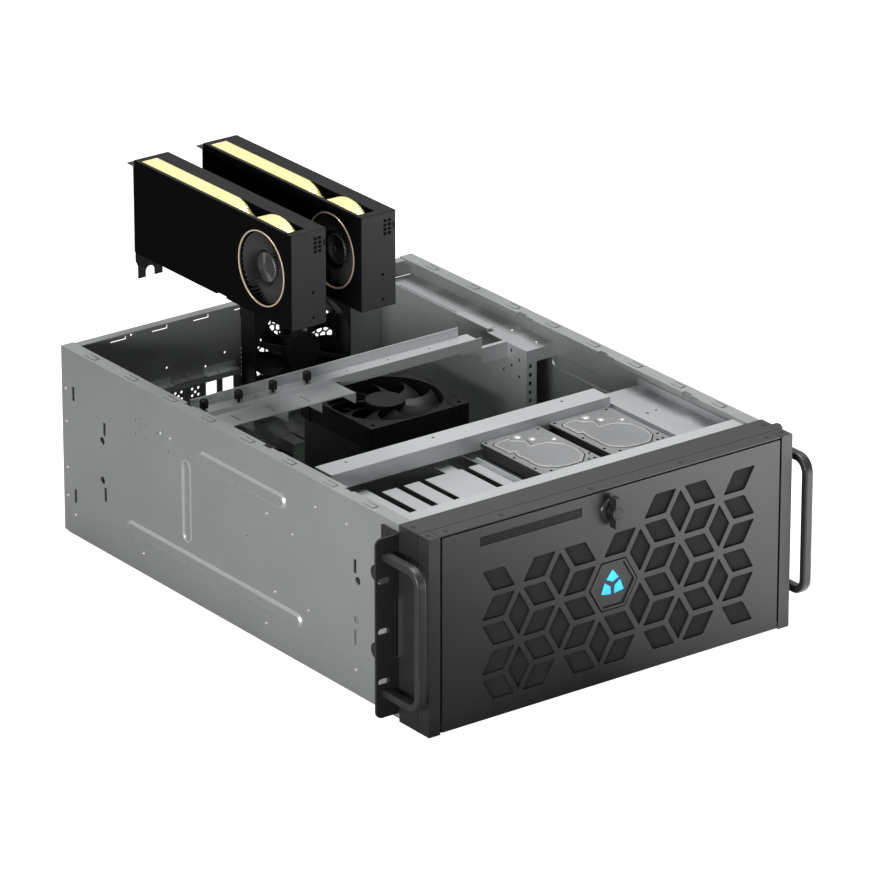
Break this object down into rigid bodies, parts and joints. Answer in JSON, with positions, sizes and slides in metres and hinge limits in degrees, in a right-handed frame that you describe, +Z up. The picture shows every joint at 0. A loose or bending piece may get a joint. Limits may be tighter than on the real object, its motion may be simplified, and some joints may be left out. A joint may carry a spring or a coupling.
{
  "type": "rack-mount gpu server",
  "caption": "Open rack-mount GPU server with a honeycomb lattice front door, rack ears and handles, drives, tower of fans and two blower accelerator cards lifted out of their slots.",
  "frame": {"origin": "centre of the floor pan's underside, the face the server stands on", "axes": "+X to the right seen from the front, +Y from the door to the rear wall, +Z up"},
  "size_m": [0.4826, 0.6296, 0.375],
  "materials": {
    "galvanised_steel": "dull zinc grain",
    "bright_steel": "light zinc grain",
    "black_paint": "fine satin",
    "drive_aluminium": "satin",
    "port_metal": "plated",
    "circuit_board": "solder mask",
    "cooler_metal": "satin",
    "fan_plastic": "matt",
    "bezel_plastic": "fine satin",
    "door_paint": "satin",
    "filter_mesh": "matt",
    "gloss_window": "gloss",
    "lock_metal": "dark plated",
    "emblem_blue": "lit from behind",
    "pin_steel": "ground",
    "card_black": "black anodised",
    "card_gold": "gold anodised",
    "ring_copper": "copper anodised"
  },
  "bodies": {
    "chassis": {"base_tray": "galvanised_steel", "left_side": "galvanised_steel", "right_side": "galvanised_steel", "rear_wall": "galvanised_steel", "slot_covers": "galvanised_steel", "slot_rail": "bright_steel", "fan_wall": "galvanised_steel", "front_rail": "bright_steel", "bay_plate": "bright_steel", "front_beam": "bright_steel", "right_shelf": "bright_steel", "crossbar": "bright_steel", "card_retainer": "bright_steel", "thumbscrews": "black_paint", "drive_left": "drive_aluminium", "drive_right": "drive_aluminium", "psu_cage": "galvanised_steel", "motherboard": "circuit_board", "io_ports": "port_metal", "cpu": "port_metal", "memory": "circuit_board", "cooler_heatsink": "cooler_metal", "cooler_fan_frame": "fan_plastic", "rear_fan_frame": "fan_plastic", "front_fan_frames": "fan_plastic", "bezel_box": "bezel_plastic", "front_frame": "bezel_plastic", "hinge_pins": "pin_steel", "left_ear": "black_paint", "right_ear": "black_paint", "left_handle": "black_paint", "right_handle": "black_paint", "bezel_screws": "black_paint"},
    "door": {"door": "door_paint", "door_filter": "filter_mesh", "door_window": "gloss_window", "lock_body": "lock_metal", "badge": "door_paint", "emblem": "emblem_blue"},
    "lock_knob": {"lock_knob": "lock_metal"},
    "cooler_fan_rotor": {"cooler_fan_rotor": "fan_plastic"},
    "rear_fan_rotor": {"rear_fan_rotor": "fan_plastic"},
    "front_fan_rotor_1": {"front_fan_rotor_1": "fan_plastic"},
    "front_fan_rotor_2": {"front_fan_rotor_2": "fan_plastic"},
    "front_fan_rotor_3": {"front_fan_rotor_3": "fan_plastic"},
    "psu_upper": {"psu_upper": "port_metal"},
    "psu_lower": {"psu_lower": "port_metal"},
    "card_1": {"card_1_shroud": "card_black", "card_1_board": "circuit_board", "card_1_fins": "card_gold", "card_1_ring": "ring_copper", "card_1_bracket": "black_paint"},
    "card_1_rotor": {"card_1_rotor": "fan_plastic"},
    "card_2": {"card_2_shroud": "card_black", "card_2_board": "circuit_board", "card_2_fins": "card_gold", "card_2_ring": "ring_copper", "card_2_bracket": "black_paint"},
    "card_2_rotor": {"card_2_rotor": "fan_plastic"}
  },
  "joints": [
    {"name": "door_hinge", "type": "hinge", "parent": "chassis", "child": "door", "pos_m": [0, -0.3232, 0.007], "axis": [1, 0, 0], "range_deg": [0, 84]},
    {"name": "lock_turn", "type": "hinge", "parent": "door", "child": "lock_knob", "pos_m": [-0.0043, -0.3272, 0.1765], "axis": [0, 1, 0], "range_deg": [0, 90]},
    {"name": "cooler_fan_spin", "type": "hinge", "parent": "chassis", "child": "cooler_fan_rotor", "pos_m": [0.0575, 0.1136, 0.107], "axis": [0, 0, 1], "continuous": true},
    {"name": "rear_fan_spin", "type": "hinge", "parent": "chassis", "child": "rear_fan_rotor", "pos_m": [0.0595, 0.2546, 0.136], "axis": [0, 1, 0], "continuous": true},
    {"name": "front_fan_spin_1", "type": "hinge", "parent": "chassis", "child": "front_fan_rotor_1", "pos_m": [-0.128, -0.2796, 0.0995], "axis": [0, 1, 0], "continuous": true},
    {"name": "front_fan_spin_2", "type": "hinge", "parent": "chassis", "child": "front_fan_rotor_2", "pos_m": [0, -0.2796, 0.0995], "axis": [0, 1, 0], "continuous": true},
    {"name": "front_fan_spin_3", "type": "hinge", "parent": "chassis", "child": "front_fan_rotor_3", "pos_m": [0.128, -0.2796, 0.0995], "axis": [0, 1, 0], "continuous": true},
    {"name": "card_1_lift", "type": "slide", "parent": "chassis", "child": "card_1", "axis": [0, 0, 1], "range_m": [-0.048, 0]},
    {"name": "card_1_fan_spin", "type": "hinge", "parent": "card_1", "child": "card_1_rotor", "pos_m": [-0.1225, 0.0613, 0.3265], "axis": [1, 0, 0], "continuous": true},
    {"name": "card_2_lift", "type": "slide", "parent": "chassis", "child": "card_2", "axis": [0, 0, 1], "range_m": [-0.048, 0]},
    {"name": "card_2_fan_spin", "type": "hinge", "parent": "card_2", "child": "card_2_rotor", "pos_m": [-0.0402, 0.0613, 0.3265], "axis": [1, 0, 0], "continuous": true},
    {"name": "psu_upper_slide", "type": "slide", "parent": "chassis", "child": "psu_upper", "axis": [0, 1, 0], "range_m": [0, 0.17]},
    {"name": "psu_lower_slide", "type": "slide", "parent": "chassis", "child": "psu_lower", "axis": [0, 1, 0], "range_m": [0, 0.17]}
  ]
}
